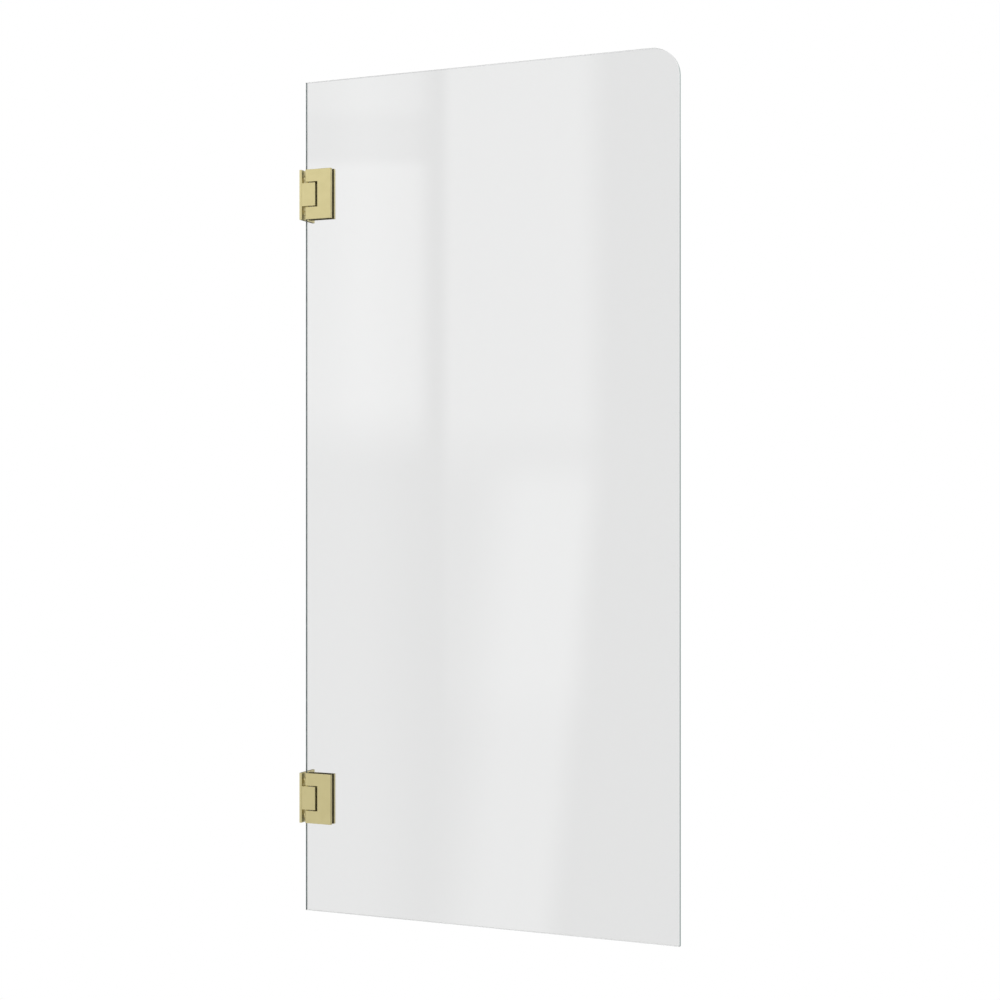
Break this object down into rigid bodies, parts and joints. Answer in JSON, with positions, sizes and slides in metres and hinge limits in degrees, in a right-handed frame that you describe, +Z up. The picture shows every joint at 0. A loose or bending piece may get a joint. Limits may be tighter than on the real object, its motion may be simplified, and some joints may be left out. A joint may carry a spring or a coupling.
{
  "type": "bath screen",
  "caption": "Frameless wall-hinged bath screen: clear toughened glass pane with a rounded free top corner, swinging both ways on satin brass wall-to-glass hinges.",
  "frame": {"origin": "centre of the lower wall plate's back face, which is the centre of its four screw holes, on the wall", "axes": "+X out from the wall along the closed pane, +Y through the pane from its front face to its back, +Z up"},
  "size_m": [0.7066, 0.051, 1.48],
  "materials": {
    "clear_glass": "clear toughened float glass, flat-polished edges",
    "satin_brass": "satin brass, fine-brushed and lacquered",
    "brass_plated_steel": "brass-plated steel screws",
    "stainless_steel": "turned stainless steel",
    "spring_steel": "drawn spring steel",
    "acetal": "turned white acetal",
    "gasket_rubber": "die-cut black gasket sheet"
  },
  "bodies": {
    "wall_side": {"lower_wall_plate": "satin_brass", "lower_pivot_block": "satin_brass", "lower_block_screws": "stainless_steel", "lower_pivot_bushes": "acetal", "lower_detent_spring": "spring_steel", "upper_wall_plate": "satin_brass", "upper_pivot_block": "satin_brass", "upper_block_screws": "stainless_steel", "upper_pivot_bushes": "acetal", "upper_detent_spring": "spring_steel"},
    "leaf": {"glass_panel": "clear_glass", "lower_pivot_pin": "stainless_steel", "lower_back_clamp": "satin_brass", "lower_pin_set_screws": "stainless_steel", "lower_back_gasket": "gasket_rubber", "lower_front_gasket": "gasket_rubber", "lower_front_clamp": "satin_brass", "lower_clamp_screws": "brass_plated_steel", "upper_pivot_pin": "stainless_steel", "upper_back_clamp": "satin_brass", "upper_pin_set_screws": "stainless_steel", "upper_back_gasket": "gasket_rubber", "upper_front_gasket": "gasket_rubber", "upper_front_clamp": "satin_brass", "upper_clamp_screws": "brass_plated_steel"},
    "lower_detent": {"lower_detent_shoe": "acetal"},
    "upper_detent": {"upper_detent_shoe": "acetal"}
  },
  "joints": [
    {"name": "glass_swing", "type": "hinge", "parent": "wall_side", "child": "leaf", "pos_m": [0.02, -0.0145, 0.5385], "axis": [0, 0, 1], "range_deg": [-90, 90]},
    {"name": "lower_detent_slide", "type": "slide", "parent": "wall_side", "child": "lower_detent", "axis": [1, 0, 0], "range_m": [0, 0.0008]},
    {"name": "upper_detent_slide", "type": "slide", "parent": "wall_side", "child": "upper_detent", "axis": [1, 0, 0], "range_m": [0, 0.0008]}
  ],
  "couplings": [
    {"joint": "upper_detent_slide", "follows": "lower_detent_slide", "ratio": 1}
  ]
}
